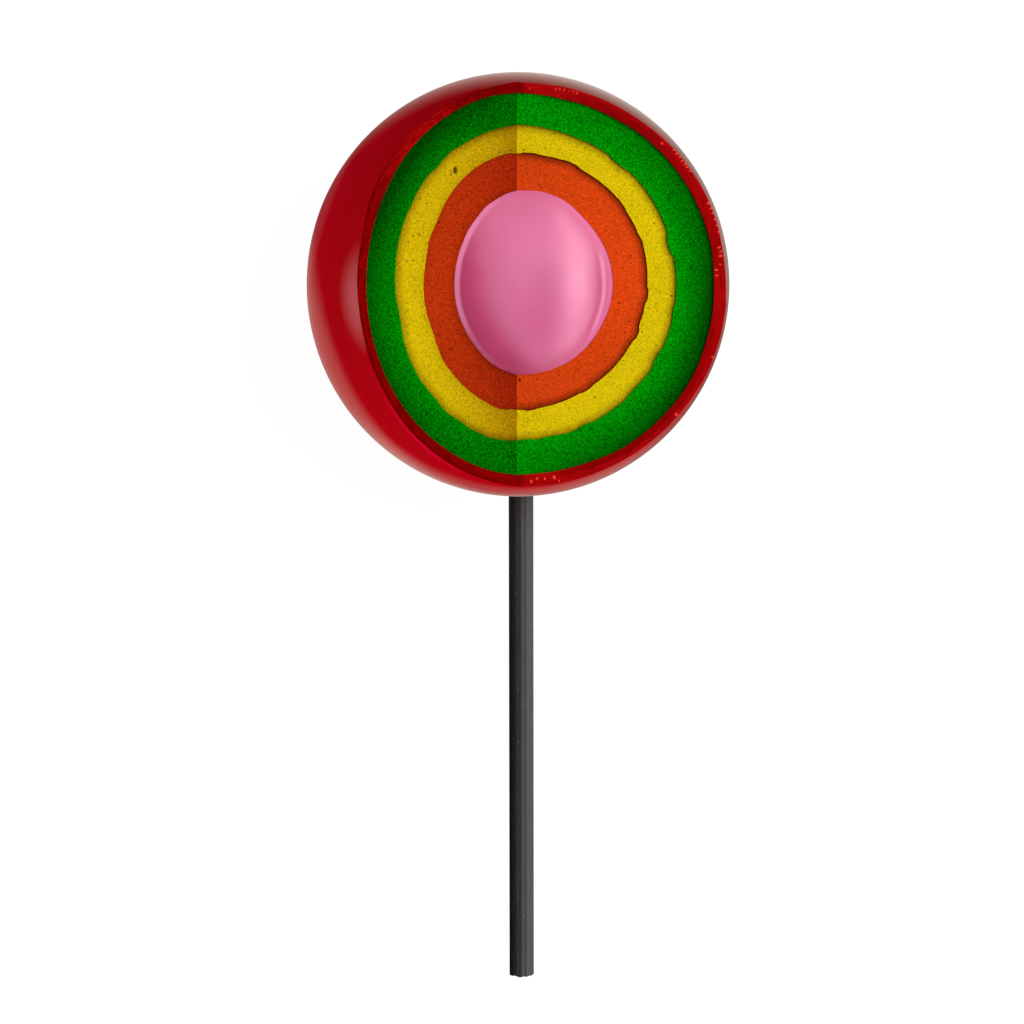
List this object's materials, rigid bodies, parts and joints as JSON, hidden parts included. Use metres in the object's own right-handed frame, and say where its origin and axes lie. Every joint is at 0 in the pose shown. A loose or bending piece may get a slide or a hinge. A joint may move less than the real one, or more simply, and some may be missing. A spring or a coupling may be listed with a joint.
{
  "type": "layered ball lollipop",
  "caption": "Ball lollipop lying on its back, with a shallow V cut from its front that shows a thin hard shell, coloured layers inside it and a round centre, on a fluted stick.",
  "frame": {"origin": "middle of the flat spot that the back of the ball rests on, on the floor", "axes": "+Z up out of the cut side, +Y from the stick towards the top of the ball, +X to the right of the cut seen from above with +Y up"},
  "size_m": [0.058, 0.126, 0.0489],
  "materials": {
    "shell_candy": "clear, polished hard red sugar with a glassy cut edge",
    "green_candy": "matte, finely grained pressed sugar",
    "yellow_candy": "matte, finely grained pressed sugar with small pits",
    "orange_candy": "matte, finely grained pressed sugar with small pits",
    "pink_centre": "smooth, softly glossy",
    "stick_plastic": "satin extruded plastic with fine dust"
  },
  "bodies": {
    "root": {"red_shell": "shell_candy", "green_layer": "green_candy", "yellow_layer": "yellow_candy", "orange_layer": "orange_candy", "pink_centre": "pink_centre", "stick": "stick_plastic"}
  },
  "joints": []
}
